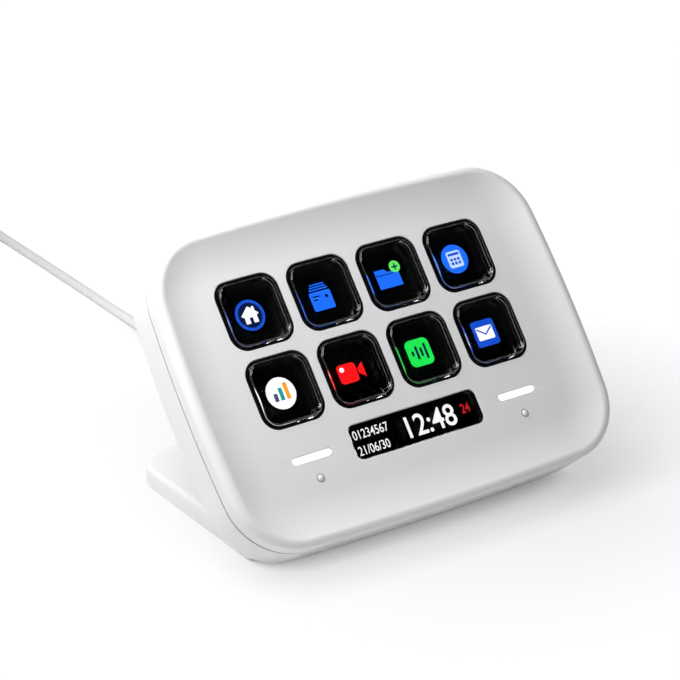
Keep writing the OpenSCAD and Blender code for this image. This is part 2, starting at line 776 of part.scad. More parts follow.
module relief_clip() {
  color("dimgray") along_lead(socket_in - clip_t) difference() {
    cylinder(r = socket_r - 0.2, h = clip_t, $fn = fine);
    translate([0, 0, -1]) cylinder(r = relief_r - groove_deep, h = clip_t + 2, $fn = fine);
    translate([0, -socket_r, clip_t / 2])
      cube([2 * (relief_r - groove_deep - 0.1), 2 * socket_r, clip_t + 2], center = true);
  }
}

module lead() {
  color("white") tube(LEAD, lead_d / 2);
}

module lead_coil() {
  color("white") translate([coil_x, coil_y, tie_t]) rotate_extrude($fn = fine)
    translate([coil_in_r, 0]) square([coil_out_r - coil_in_r, coil_h]);
}

module coil_tie() {
  color("black") translate([coil_x, coil_y, 0]) rotate(200)
    rotate_extrude(angle = 24, $fn = 15 * arc_steps) difference() {
      translate([coil_in_r - tie_t, 0])
        square([coil_out_r - coil_in_r + 2 * tie_t, coil_h + 2 * tie_t]);
      translate([coil_in_r, tie_t]) square([coil_out_r - coil_in_r, coil_h]);
    }
}

module lead_tail() {
  color("white") tube(TAIL, lead_d / 2);
}

module plug_body() {
  color("white") translate(TAIL[len(TAIL) - 1]) rotate([-90, 0, 0]) {
    cylinder(r1 = lead_d / 2 + 0.4, r2 = 2.6, h = 8, $fn = fine);
    translate([0, 0, 8]) linear_extrude(18) rrect(11.4, 5.6, 2.6);
  }
}

module plug_shell() {
  color("silver") translate(TAIL[len(TAIL) - 1] + [0, 26, 0]) rotate([-90, 0, 0])
    difference() {
      linear_extrude(6.6) rrect(8.3, 2.5, 1.2);
      translate([0, 0, 1.5]) linear_extrude(6) rrect(7.7, 1.9, 0.9);
    }
}

front_shell();
rear_shell();
key_grid();
key_cap(0);  // key_cap_1
key_cap(1);  // key_cap_2
key_cap(2);  // key_cap_3
key_cap(3);  // key_cap_4
key_cap(4);  // key_cap_5
key_cap(5);  // key_cap_6
key_cap(6);  // key_cap_7
key_cap(7);  // key_cap_8
key_mat();
contact_sheet();
screen_panel();
backlight_sheet();
screen_tray();
screen_screws();
screen_flex();
info_window();
info_display();
info_holder();
info_flex();
light_pipe(-1);  // light_pipe_left
light_pipe(1);  // light_pipe_right
indicator_leds();
touch_spring(-1);  // touch_spring_left
touch_spring(1);  // touch_spring_right
main_board();
board_screws();
processor_chip();
memory_chip();
board_connectors();
inner_lead();
relief_clip();
case_screws();
stand();
stand_screws();
foot_pad();
strain_relief();
lead();
lead_coil();
coil_tie();
lead_tail();
plug_body();
plug_shell();
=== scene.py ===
import json
import math

import bmesh
import bpy
from mathutils import Matrix, Vector

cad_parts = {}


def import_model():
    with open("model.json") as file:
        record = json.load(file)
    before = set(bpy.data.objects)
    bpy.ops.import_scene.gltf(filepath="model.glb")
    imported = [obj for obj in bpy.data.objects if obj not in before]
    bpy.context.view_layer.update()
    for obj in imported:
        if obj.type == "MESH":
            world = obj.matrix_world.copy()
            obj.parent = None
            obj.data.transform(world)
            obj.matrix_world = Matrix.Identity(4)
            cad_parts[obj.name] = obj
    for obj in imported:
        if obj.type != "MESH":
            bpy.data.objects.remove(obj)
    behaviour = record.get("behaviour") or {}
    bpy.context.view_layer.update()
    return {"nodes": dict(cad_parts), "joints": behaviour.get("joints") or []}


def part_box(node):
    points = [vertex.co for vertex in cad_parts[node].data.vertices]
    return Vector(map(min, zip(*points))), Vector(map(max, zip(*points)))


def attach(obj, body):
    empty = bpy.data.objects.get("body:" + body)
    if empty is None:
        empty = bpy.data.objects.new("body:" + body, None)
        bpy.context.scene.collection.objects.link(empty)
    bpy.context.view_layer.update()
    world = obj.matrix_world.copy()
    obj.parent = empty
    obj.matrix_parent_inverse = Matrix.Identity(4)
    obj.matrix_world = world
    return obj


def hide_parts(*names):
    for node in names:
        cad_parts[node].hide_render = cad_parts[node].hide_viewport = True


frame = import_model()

# ---- Sizes of the part in millimetres, as its construction has them ----
MM = 0.001
CORNER_R = 15.4          # corner radius of the bowed outline
SIDE_BOW = 0.68          # how far each side of the outline bows out
SEAM_DEPTH = 2.5         # levels are depths below the flat of the face
BODY_DEPTH = 13.0
BODY_H = 75.8            # along the slope
BACK_R = 3.3
WALL = 1.8
SEAM_R = 0.3             # rounding of both shells along the seam
SEAM_GAP = 0.3           # gap of the seam
TONGUE_H = 1.2           # tongue of the back inside the front, with the gaps beside and over it
TONGUE_SIDE, TONGUE_HEAD = 0.05, 0.1
FLAT_LAP = 0.6           # stretch of the flat that belongs to the rim's profile
BACK_LAP = 1.0           # the same on the back
FACE_T = 1.2
DISH_DEPTH = 2.2
DISH_W = 11.4
LIP_R = 2.0              # rounding of the rim's crest
LIP_R_LEVEL = 1.4        # the same along the upper and lower edges
KEY_COUNT, KEYS_ACROSS = 8, 4
KEY_PITCH = 19.0
KEYS_Y = 7.6
OPENING_W = 16.7
OPENING_R = 4.0
INFO_W, INFO_H, INFO_R = 35.4, 8.4, 1.8
INFO_Y = -18.0
BAR_LEN, BAR_W, BAR_X = 10.2, 1.4, 28.5
BAR_GAP = 0.15           # gap between a light bar and its slot
NUB_Y = INFO_Y - 5.1
NUB_R = 0.8
CASE_SCREW = (37.5, 28.9)
CASE_HEAD_R = 2.3
HEAD_GAP = 0.2           # gap round a screw's head in its pocket
SOFT_R, SOFT_MID = 0.3, 0.09     # a small rounded edge, and its middle point's distance
KEY_W = 15.1
KEY_R = 3.2
KEY_RISE = 0.7
KEY_EDGE_R = 0.8
FLANGE_FRONT, FLANGE_BACK, FLANGE_REACH = 1.7, 2.1, 0.75
KEY_BOTTOM = 2.65
SCREEN_FRONT = 3.85
INFO_SCREEN = 1.7
STAND_W = 86.0
FOOT_TOP = 5.0
FOOT_CORNER_R = 9.0
STAND_T = 3.0
STAND_INSET = 2.5        # how far the stand stays inside the outline
FLANGE_TOP = -10.0       # upper edge of the stand's flange, up the slope
PAD_PROUD = 0.4
STAND_SCREW = (29.0, -18.0)
STAND_HEAD_R, STAND_BORE_R = 2.2, 1.3
STAND_HEAD_GAP = 0.25
STAND_HEAD_SEAT = 1.4    # thickness of the flange left under a screw's head
STAND_BORE_END, STAND_HEAD_END = 18, 30  # depths where the holes are clear of the stand
STAND_BLEND_R = 7.0      # inner corner between the foot plate and the flange
STAND_EDGE_R = 1.3
PAD_GAP = 0.15           # gap round the rubber pad in its pocket
PAD_R = 4.0              # corner radius of the pad
LEAD_Z = 10.8
LEAD_D = 2.5
SOCKET_R = 4.6
SOCKET_BORE = 2.7
SOCKET_OUT = 0.8         # how far the outlet stands out of the back
SOCKET_EDGE_R, SOCKET_LEAD_IN = 0.5, 0.2
WAY_GAP = 0.6            # gap between the outlet and the stand
WAY_IN, WAY_OUT = 15, 45     # how far the way cut in the stand for it runs each way

# ---- The face frame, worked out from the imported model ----
tilt = math.acos(-frame["joints"][0]["axis"][2])
sin_t, cos_t = math.sin(tilt), math.cos(tilt)
face_low, face_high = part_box("front_shell")
body_w = (face_high[0] - face_low[0]) / MM
crest_up = BODY_H / 2 - LIP_R
crest_out = DISH_DEPTH - LIP_R
face_y = face_low[1] / MM + crest_up * cos_t + crest_out * sin_t + LIP_R
face_z = face_high[2] / MM - crest_up * sin_t - crest_out * cos_t - LIP_R
foot_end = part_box("stand")[1][1] / MM

TABLE = Matrix.Diagonal((MM, MM, MM, 1))
FACE = (TABLE @ Matrix.Translation((0, face_y, face_z))
        @ Matrix.Rotation(tilt, 4, "X"))


# ---- Outlines and solids ----
CREASE = 32              # degrees between two faces from which their edge is sharp
NORMAL_WEIGHT = 100      # large faces rule the shading of small ones
SIDE_STEPS, END_STEPS, CORNER_STEPS = 16, 22, 18     # points on each arc of the outline
SETTLE_ROUNDS = 40


def arc(cx, cy, r, start, end, steps):
    """Points of an arc, in degrees, with both ends."""
    angles = [math.radians(start + (end - start) * i / steps) for i in range(steps + 1)]
    return [(cx + r * math.cos(a), cy + r * math.sin(a)) for a in angles]


def rounded(w, h, r, cx, cy, steps=10):
    """A round-cornered rectangle, anticlockwise."""
    x, y = w / 2 - r, h / 2 - r
    points = []
    for k, (sx, sy) in enumerate([(1, 1), (-1, 1), (-1, -1), (1, -1)]):
        points += arc(cx + sx * x, cy + sy * y, r, 90 * k, 90 * k + 90, steps)
    return points


def circle(r, cx=0.0, cy=0.0, steps=32):
    return arc(cx, cy, r, 0, 360 - 360 / steps, steps - 1)


def level(points, z):
    return [(x, y, z) for x, y in points]


class Solid:
    """A mesh made of closed loops of points, in millimetres."""

    def __init__(self):
        self.bm = bmesh.new()

    def loop(self, points):
        return [self.bm.verts.new(p) for p in points]

    def stack(self, rows, material=0, seam=()):
        """Walls between each loop and the next, with the second material, a painted shade, on the
        stretches listed in seam.
        Returns the loops."""
        loops = [self.loop(row) if isinstance(row[0], tuple) else row for row in rows]
        for k, (a, b) in enumerate(zip(loops, loops[1:])):
            for i in range(len(a)):
                j = (i + 1) % len(a)
                face = self.bm.faces.new((a[i], a[j], b[j], b[i]))
                face.material_index = 1 if k in seam else material
        return loops

    def lid(self, loop):
        self.bm.faces.new(loop)

    def fill(self, loops, up=1, material=0):
        """A flat face between an outer loop and the holes in it."""
        edges = []
        for a in loops:
            for i in range(len(a)):
                pair = (a[i], a[(i + 1) % len(a)])
                edges.append(self.bm.edges.get(pair) or self.bm.edges.new(pair))
        made = bmesh.ops.triangle_fill(self.bm, use_beauty=True, edges=edges, normal=(0, 0, up))
        for item in made["geom"]:
            if isinstance(item, bmesh.types.BMFace):
                item.material_index = material

    def prism(self, points, low, high):
        loops = self.stack([level(points, low), level(points, high)])
        self.lid(list(reversed(loops[0])))
        self.lid(loops[-1])

    def raw(self, name, materials, place=FACE):
        """Makes the object, with nothing done to its edges."""
        bmesh.ops.recalc_face_normals(self.bm, faces=self.bm.faces)
        self.bm.transform(place)
        mesh = bpy.data.meshes.new(name)
        self.bm.to_mesh(mesh)
        self.bm.free()
        for finish in materials:
            mesh.materials.append(finish)
        thing = bpy.data.objects.new(name, mesh)
        bpy.context.scene.collection.objects.link(thing)
        return thing

    def piece(self, name, materials, place=FACE, **ways):
        """Makes the object, which rides on a body of the model."""
        placed(shaded(self.raw(name, materials, place)), **ways)


def shaded(thing):
    """Smooth faces, with sharp edges where they meet at more than the crease angle."""
    limit = math.radians(CREASE)
    bm = bmesh.new()
    bm.from_mesh(thing.data)
    for face in bm.faces:
        face.smooth = True
    for edge in bm.edges:
        edge.smooth = len(edge.link_faces) == 2 and edge.calc_face_angle(0) < limit
    bm.to_mesh(thing.data)
    bm.free()
    even = thing.modifiers.new("even_normals", "WEIGHTED_NORMAL")
    even.keep_sharp = True
    even.weight = NORMAL_WEIGHT
    return thing


def fixed(thing):
    """Puts the object's modifiers into its mesh."""
    seen = thing.evaluated_get(bpy.context.evaluated_depsgraph_get())
    made = bpy.data.meshes.new_from_object(seen)
    thing.modifiers.clear()
    thing.data = made


def carve(thing, cutters, way="DIFFERENCE"):
    for cutter in cutters:
        cut = thing.modifiers.new("cut", "BOOLEAN")
        cut.operation = way
        cut.solver = "EXACT"
        cut.object = cutter
        fixed(thing)
        bpy.data.objects.remove(cutter)


def placed(thing, slot, body="base", replaces=()):
    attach(thing, body)
    if replaces:
        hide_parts(*replaces)


def bowed_outline():
    """Arcs of the body's outline, as (centre x, centre y, radius, first angle, last angle,
    steps). The corner arcs' centres settle in a few rounds."""
    cx, cy = body_w / 2 - CORNER_R, BODY_H / 2 - CORNER_R
    for _ in range(SETTLE_ROUNDS):
        top_r = (cx * cx + SIDE_BOW ** 2) / (2 * SIDE_BOW)
        side_r = (cy * cy + SIDE_BOW ** 2) / (2 * SIDE_BOW)
        top_a = math.asin(cx / (top_r - CORNER_R))
        side_a = math.asin(cy / (side_r - CORNER_R))
        cx = body_w / 2 - side_r + (side_r - CORNER_R) * math.cos(side_a)
        cy = BODY_H / 2 - top_r + (top_r - CORNER_R) * math.cos(top_a)
    top, side = math.degrees(top_a), math.degrees(side_a)
    return [
        (body_w / 2 - side_r, 0, side_r, -side, side, SIDE_STEPS),
        (cx, cy, CORNER_R, side, 90 - top, CORNER_STEPS),
        (0, BODY_H / 2 - top_r, top_r, 90 - top, 90 + top, END_STEPS),
        (-cx, cy, CORNER_R, 90 + top, 180 - side, CORNER_STEPS),
        (side_r - body_w / 2, 0, side_r, 180 - side, 180 + side, SIDE_STEPS),
        (-cx, -cy, CORNER_R, 180 + side, 270 - top, CORNER_STEPS),
        (0, top_r - BODY_H / 2, top_r, 270 - top, 270 + top, END_STEPS),
        (cx, -cy, CORNER_R, 270 + top, 360 - side, CORNER_STEPS),
    ]


OUTLINE_ARCS = bowed_outline()


def body_outline(inset):
    points = []
    for cx, cy, r, start, end, steps in OUTLINE_ARCS:
        points += arc(cx, cy, r - inset, start, end, steps)[:-1]
    return points


def body_row(beside, along):
    """A loop round the body, each given as (inset, z): beside is at its left and right, along
    at its upper and lower edges, and the corners lie between."""
    points = []
    for cx, cy, r, start, end, steps in OUTLINE_ARCS:
        for i in range(steps):
            a = math.radians(start + (end - start) * i / steps)
            inset, z = (p + (q - p) * math.sin(a) ** 2 for p, q in zip(beside, along))
            points.append((cx + (r - inset) * math.cos(a), cy + (r - inset) * math.sin(a), z))
    return points


# ---- Materials ----
CLOUD_SCALE, CLOUD_DETAIL = 45.0, 3.0    # the slow change of colour and roughness
ROUGH_SPREAD = 0.12
GRAIN_DETAIL, GRAIN_DEPTH = 2.0, 0.0001
FLICKER_SCALE, FLICKER = 120.0, 0.05     # the change of a lit patch's strength
LIT_SURFACE, LIT_ROUGH, LIT_MOTTLE = 0.6, 0.35, 0.02     # a lit patch's own surface
CLEAR_IOR, CLEAR_ROUGH, CLEAR_MOTTLE = 1.49, 0.01, 0.01


def material(name, base, rough, metal=0.0, grain=0.0, grain_scale=900.0, mottle=0.03,
             specular=0.5):
    """A moulded or plated surface: fine bump, and colour and roughness that vary a little."""
    made = bpy.data.materials.new(name)
    made.use_nodes = True
    nodes, links = made.node_tree.nodes, made.node_tree.links
    shader = nodes["Principled BSDF"]
    shader.inputs["Metallic"].default_value = metal
    shader.inputs["Specular IOR Level"].default_value = specular
    place = nodes.new("ShaderNodeTexCoord")
    cloud = nodes.new("ShaderNodeTexNoise")
    cloud.inputs["Scale"].default_value = CLOUD_SCALE
    cloud.inputs["Detail"].default_value = CLOUD_DETAIL
    links.new(place.outputs["Object"], cloud.inputs["Vector"])
    tint = nodes.new("ShaderNodeMixRGB")
    tint.inputs["Color1"].default_value = [c * (1 - mottle) for c in base] + [1]
    tint.inputs["Color2"].default_value = [min(1, c * (1 + mottle)) for c in base] + [1]
    links.new(cloud.outputs["Fac"], tint.inputs["Fac"])
    links.new(tint.outputs["Color"], shader.inputs["Base Color"])
    polish = nodes.new("ShaderNodeMapRange")
    polish.inputs["To Min"].default_value = rough * (1 - ROUGH_SPREAD)
    polish.inputs["To Max"].default_value = min(1, rough * (1 + ROUGH_SPREAD))
    links.new(cloud.outputs["Fac"], polish.inputs["Value"])
    links.new(polish.outputs["Result"], shader.inputs["Roughness"])
    if grain:
        fine = nodes.new("ShaderNodeTexNoise")
        fine.inputs["Scale"].default_value = grain_scale
        fine.inputs["Detail"].default_value = GRAIN_DETAIL
        links.new(place.outputs["Object"], fine.inputs["Vector"])
        bump = nodes.new("ShaderNodeBump")
        bump.inputs["Strength"].default_value = grain
        bump.inputs["Distance"].default_value = GRAIN_DEPTH
        links.new(fine.outputs["Fac"], bump.inputs["Height"])
        links.new(bump.outputs["Normal"], shader.inputs["Normal"])
    return made


def glow(name, colour, strength=1.0):
    """A lit patch of a screen or lamp: its light varies a little, as a backlight does."""
    made = material(name, [c * LIT_SURFACE for c in colour], LIT_ROUGH, mottle=LIT_MOTTLE)
    nodes, links = made.node_tree.nodes, made.node_tree.links
    shader = nodes["Principled BSDF"]
    shader.inputs["Emission Color"].default_value = list(colour) + [1]
    cloud = nodes.new("ShaderNodeTexNoise")
    cloud.inputs["Scale"].default_value = FLICKER_SCALE
    flicker = nodes.new("ShaderNodeMapRange")
    flicker.inputs["To Min"].default_value = strength * (1 - FLICKER)
    flicker.inputs["To Max"].default_value = strength * (1 + FLICKER)
    links.new(cloud.outputs["Fac"], flicker.inputs["Value"])
    links.new(flicker.outputs["Result"], shader.inputs["Emission Strength"])
    return made


def clear(name, tint):
    """Clear moulded plastic."""
    made = material(name, tint, CLEAR_ROUGH, mottle=CLEAR_MOTTLE)
    shader = made.node_tree.nodes["Principled BSDF"]
    shader.inputs["Transmission Weight"].default_value = 1.0
    shader.inputs["IOR"].default_value = CLEAR_IOR
    return made


def srgb(r, g, b):
    """A colour as it shows on a screen, from 0 to 255, as light."""
    def lift(c):
        c /= 255
        return c / 12.92 if c <= 0.04045 else ((c + 0.055) / 1.055) ** 2.4
    return [lift(r), lift(g), lift(b)]


WHITE = material("white_shell", srgb(238, 238, 239), 0.42, grain=0.10, mottle=0.006)
WHITE_STAND = material("white_stand", srgb(238, 238, 239), 0.46, grain=0.12, mottle=0.006)
WHITE_LEAD = material("white_vinyl", srgb(236, 236, 237), 0.5, grain=0.06, mottle=0.01)
BLACK_COLLAR = material("black_collar", srgb(13, 13, 15), 0.5, grain=0.1, mottle=0.1,
                        specular=0.02)
# Painted shade: a grey for the white plastic where shade falls, in the seam, round the light bars
# in their slots and at the touch points' feet
PAINTED_SHADE_GREY = material("painted_shade_grey", srgb(172, 172, 175), 0.6, mottle=0.02)
BLACK_SCREEN = material("screen_black", srgb(10, 10, 12), 0.18, mottle=0.1)
CLEAR_CAP = clear("clear_cap", (1.0, 1.0, 1.0))
SMOKED = clear("smoked_window", srgb(225, 225, 230))
LIT_BAR = glow("lit_bar", (1.0, 1.0, 1.0), 0.93)
STEEL = material("dark_screw", srgb(95, 96, 100), 0.35, metal=1.0, grain=0.2)
NICKEL = material("nickel_plate", srgb(205, 205, 210), 0.2, metal=1.0, grain=0.05)
TRAY_STEEL = material("tray_steel", srgb(185, 187, 190), 0.32, metal=1.0, grain=0.15)
RUBBER = material("pad_rubber", srgb(120, 121, 124), 0.8, grain=0.5, grain_scale=500.0)
TIE_RUBBER = material("tie_rubber", srgb(225, 225, 226), 0.65, grain=0.3)
SILICONE = material("black_silicone", srgb(16, 16, 17), 0.6, grain=0.2)
BLACK_FILM = material("black_film", srgb(18, 17, 17), 0.5, mottle=0.08)
AMBER_FILM = material("amber_film", srgb(196, 128, 48), 0.35, mottle=0.08)
BOARD_GREEN = material("solder_mask", srgb(30, 96, 60), 0.4, grain=0.3, mottle=0.12)
CHIP_BLACK = material("chip_epoxy", srgb(38, 38, 40), 0.6, grain=0.3)
IVORY = material("ivory_nylon", srgb(226, 220, 200), 0.55, grain=0.2)
HOLDER_BLACK = material("holder_black", srgb(45, 45, 47), 0.6, grain=0.3)
DIFFUSER = material("diffuser", srgb(240, 240, 240), 0.6, grain=0.1)
GOLD_SPRING = material("gold_spring", srgb(214, 176, 96), 0.3, metal=1.0)
LAMP = glow("lamp", (1.0, 0.98, 0.92))


# ---- Shells ----
HOLE_EDGE_R, SLOT_EDGE_R = 0.18, 0.06    # upper edges of the openings and light bar slots
NUB_FOOT = ((0.25, 0.0), (0.1, 0.012), (0.0, 0.05))  # a touch point's foot, grey painted shade as its contact shadow: wider by, height
NUB_DOME = (28, 40, 52, 64, 76)          # and its dome, a part of a ball
POCKET_FLOOR = 0.05      # thickness of the back left under a screw's pocket
ROUND_END = 0.001        # a round end's radius stays this much under half the width
STAND_CREASE, SOFT_CREASE = 40, 35       # degrees from which the stand's edges are rounded
TOUCH = 0.01             # closer than this counts as touching
EDGE_OFF = 0.5           # edges this near the rest plane or the back are not upper edges
CUT_OVER = 1             # how far a cutter starts outside what it cuts
WITHIN_DEPTH = 120       # how deep the outline runs that the stand is kept inside
RIM_SEAM = range(44, 50)     # stretches of the rim's profile that lie in the seam, coloured grey as painted shade
BACK_SEAM = range(17, 22)    # and of the back's profile, also grey painted shade


def hole_rows(grown, edge=HOLE_EDGE_R):
    """Loops of a hole's wall, from its rounded upper edge down. grown(g) is its outline moved
    out by g."""
    rows = []
    for a in (0, 30, 60, 90):
        rad = math.radians(a)
        rows.append(level(grown(edge * (1 - math.sin(rad))), -edge * (1 - math.cos(rad))))
    rows.append(level(grown(0), -FACE_T))
    return rows


def rect_hole(w, h, r, cx, cy):
    return lambda g: rounded(w + 2 * g, h + 2 * g, r + g, cx, cy)


def key_place(i):
    row, column = divmod(i, KEYS_ACROSS)
    return (column - (KEYS_ACROSS - 1) / 2) * KEY_PITCH, KEYS_Y + (0.5 - row) * KEY_PITCH


def rim_profile(lip_r):
    """The front shell's rim, from the flat round to its inside, as (inset, z)."""
    dish_r = ((DISH_W - lip_r) ** 2 + (DISH_DEPTH - lip_r) ** 2 - lip_r ** 2) / (2 * DISH_DEPTH)
    crest_a = math.degrees(math.atan2(dish_r - DISH_DEPTH + lip_r, DISH_W - lip_r))
    inner_a = math.degrees(math.acos((DISH_W - WALL) / (dish_r + FACE_T)))
    foot = SEAM_GAP / 2 - SEAM_DEPTH
    groove = TONGUE_H + TONGUE_HEAD - SEAM_DEPTH
    return ([(DISH_W + FLAT_LAP, 0)]
            + arc(DISH_W, dish_r, dish_r, 270, 180 + crest_a, 24)
            + arc(lip_r, DISH_DEPTH - lip_r, lip_r, crest_a, 180, 16)[1:]
            + arc(SEAM_R, SEAM_R + foot, SEAM_R, 180, 270, 6)
            + [(WALL / 2, foot), (WALL / 2, groove), (WALL, groove)]
            + arc(DISH_W, dish_r, dish_r + FACE_T, 180 + inner_a, 270, 12)
            + [(DISH_W + FLAT_LAP, -FACE_T)])


def front_cover():
    cover = Solid()
    rim = cover.stack([body_row(beside, along) for beside, along
                       in zip(rim_profile(LIP_R), rim_profile(LIP_R_LEVEL))], seam=RIM_SEAM)
    holes = [rect_hole(OPENING_W, OPENING_W, OPENING_R, *key_place(i))
             for i in range(KEY_COUNT)]
    holes.append(rect_hole(INFO_W, INFO_H, INFO_R, 0, INFO_Y))
    walls = [cover.stack(hole_rows(hole)) for hole in holes]
    slot_len, slot_w = BAR_LEN + 2 * BAR_GAP, BAR_W + 2 * BAR_GAP
    for side in (-1, 1):
        hole = rect_hole(slot_len, slot_w, slot_w / 2 - ROUND_END, side * BAR_X, INFO_Y)
        # The slot's walls, rounded edge and all, are grey painted shade: the shade that falls in
        # the slot round the lit bar
        walls.append(cover.stack(hole_rows(hole, SLOT_EDGE_R), seam=range(4)))
    nubs = []
    for side in (-1, 1):
        rows = [(NUB_R + wider, z) for wider, z in NUB_FOOT]
        rows += [(NUB_R * math.cos(a), NUB_R * (math.sin(a) - 1 / 3))
                 for a in (math.radians(d) for d in NUB_DOME)]
        # The foot's rings are grey painted shade: a dark ring where the dome meets the flat
        loops = cover.stack([level(circle(r, side * BAR_X, NUB_Y, 24), z) for r, z in rows],
                            seam=range(len(NUB_FOOT)))
        cover.lid(loops[-1])
        nubs.append(loops[0])
    cover.fill([rim[0]] + [rows[0] for rows in walls] + nubs)
    cover.fill([rim[-1]] + [rows[-1] for rows in walls], -1)
    cover.piece("face_cover", [WHITE, PAINTED_SHADE_GREY], slot="shell", replaces=["front_shell"])


def back_y(z, out=0.0):
    """The body's back plane, moved out by a gap, where it is at height z."""
    depth = BODY_DEPTH + out
    return face_y + depth * sin_t + (z - face_z + depth * cos_t) * cos_t / sin_t


def back_cover():
    inside = BODY_DEPTH - WALL
    outside = [(BACK_R + BACK_LAP, -BODY_DEPTH)]
    outside += arc(BACK_R, BACK_R - BODY_DEPTH, BACK_R, 270, 180, 12)
    head = -SEAM_GAP / 2 - SEAM_DEPTH
    outside += arc(SEAM_R, head - SEAM_R, SEAM_R, 180, 90, 6)
    tongue, tip = WALL / 2 + TONGUE_SIDE, TONGUE_H - SEAM_DEPTH
    outside += [(tongue, head), (tongue, tip), (WALL, tip), (WALL, -inside),
                (BACK_R + BACK_LAP, -inside)]
    cover = Solid()
    rim = cover.stack([level(body_outline(inset), z) for inset, z in outside],
                      seam=BACK_SEAM)
    pockets = []
    for sx in (-1, 1):
        for sy in (-1, 1):
            x, y = sx * CASE_SCREW[0], sy * CASE_SCREW[1]
            r = CASE_HEAD_R + HEAD_GAP
            rows = [(r + SOFT_R, -BODY_DEPTH), (r + SOFT_MID, SOFT_MID - BODY_DEPTH),
                    (r, SOFT_R - BODY_DEPTH), (r, -inside - POCKET_FLOOR)]
            loops = cover.stack([level(circle(q, x, y), z) for q, z in rows])
            cover.lid(loops[-1])
            pockets.append(loops[0])
    outlet = []
    for depth in (BODY_DEPTH, inside):
        up = (back_y(LEAD_Z, depth - BODY_DEPTH) - face_y) * cos_t + (LEAD_Z - face_z) * sin_t
        outlet.append([(x, up + y / sin_t, -depth) for x, y in circle(SOCKET_BORE)])
    outlet = cover.stack(outlet)
    cover.fill([rim[0]] + pockets + [outlet[0]], -1)
    cover.fill([rim[-1], outlet[1]], 1)
    cover.piece("back_cover", [WHITE, PAINTED_SHADE_GREY], slot="shell", replaces=["rear_shell"])


def outlet_loop(r, y):
    """A circle round the lead's outlet, which runs along Y."""
    return [(x, y, LEAD_Z + z) for x, z in circle(r, steps=48)]


def outlet_collar():
    """The round outlet that stands out of the back for the lead."""
    out = back_y(LEAD_Z + SOCKET_R) + SOCKET_OUT
    deep = back_y(LEAD_Z - SOCKET_R) - WALL
    rows = [(SOCKET_R, deep)]
    rows += arc(SOCKET_R - SOCKET_EDGE_R, out - SOCKET_EDGE_R, SOCKET_EDGE_R, 0, 90, 3)
    rows += [(SOCKET_BORE + SOCKET_LEAD_IN, out), (SOCKET_BORE, out - SOCKET_LEAD_IN),
             (SOCKET_BORE, deep)]
    collar = Solid()
    loops = collar.stack([outlet_loop(r, y) for r, y in rows])
    collar.stack([loops[-1], loops[0]])
    collar.piece("outlet_collar", [WHITE], TABLE, slot="shell")


def stand_profile():
    """The stand's side outline, as (y, z), with a round inner corner."""
    reach = STAND_BLEND_R / math.tan(tilt / 2)
    corner_y = back_y(FOOT_TOP, STAND_T)
    top = face_z + FLANGE_TOP * sin_t - BODY_DEPTH * cos_t
    side = [(back_y(PAD_PROUD), PAD_PROUD), (foot_end, PAD_PROUD), (foot_end, FOOT_TOP)]
    side += arc(corner_y + reach, FOOT_TOP + STAND_BLEND_R, STAND_BLEND_R, 270,
                90 + math.degrees(tilt), 12)
    return side + [(back_y(top - STAND_T * cos_t, STAND_T), top - STAND_T * cos_t),
                   (back_y(top), top)]


def stand_block():
    """Foot plate and flange in one, with round corners behind and rounded upper edges."""
    side = stand_profile()
    block = Solid()
    ends = [block.loop([(x, y, z) for y, z in side]) for x in (-STAND_W / 2, STAND_W / 2)]
    block.lid(ends[0])
    block.lid(list(reversed(ends[1])))
    for i in range(len(side)):
        j = (i + 1) % len(side)
        block.bm.faces.new((ends[0][j], ends[0][i], ends[1][i], ends[1][j]))
    bmesh.ops.recalc_face_normals(block.bm, faces=block.bm.faces)
    corners = [e for e in block.bm.edges
               if all(abs(v.co.y - foot_end) < TOUCH for v in e.verts)
               and abs(e.verts[1].co.x - e.verts[0].co.x) < TOUCH]
    bmesh.ops.bevel(block.bm, geom=corners, offset=FOOT_CORNER_R, segments=12, profile=0.5,
                    affect="EDGES")
    upper = [e for e in block.bm.edges if e.calc_face_angle(0) > math.radians(STAND_CREASE)
             and max(v.co.z for v in e.verts) > PAD_PROUD + EDGE_OFF
             and max(v.co.y - back_y(v.co.z) for v in e.verts) > EDGE_OFF]
    bmesh.ops.bevel(block.bm, geom=upper, offset=STAND_EDGE_R, segments=5, profile=0.5,
                    affect="EDGES", clamp_overlap=True)
    return block.raw("foot", [WHITE_STAND], TABLE)


def stand_cuts():
    """Cut out of the stand: a way for the lead's outlet, the pad's pocket, the screws' holes."""
    way = Solid()
    ends = way.stack([outlet_loop(SOCKET_R + WAY_GAP, y)
                      for y in (back_y(LEAD_Z) - WAY_IN, back_y(LEAD_Z) + WAY_OUT)])
    way.lid(ends[0])
    way.lid(ends[1])
    pocket = Solid()
    low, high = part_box("foot_pad")
    x, y = (high[0] + low[0]) / 2 / MM, (high[1] + low[1]) / 2 / MM
    w, d = (high[0] - low[0]) / MM, (high[1] - low[1]) / MM
    pocket.prism(rounded(w + 2 * PAD_GAP, d + 2 * PAD_GAP, PAD_R + PAD_GAP, x, y),
                 -CUT_OVER, high[2] / MM)
    cutters = [way.raw("way", [], TABLE), pocket.raw("pocket", [], TABLE)]
    for side in (-1, 1):
        x, y = side * STAND_SCREW[0], STAND_SCREW[1]
        for r, top, end in (
                (STAND_BORE_R, BODY_DEPTH - CUT_OVER, STAND_BORE_END),
                (STAND_HEAD_R + STAND_HEAD_GAP, BODY_DEPTH + STAND_HEAD_SEAT, STAND_HEAD_END)):
            hole = Solid()
            hole.prism(circle(r, x, y), -end, -top)
            cutters.append(hole.raw("hole", []))
    return cutters


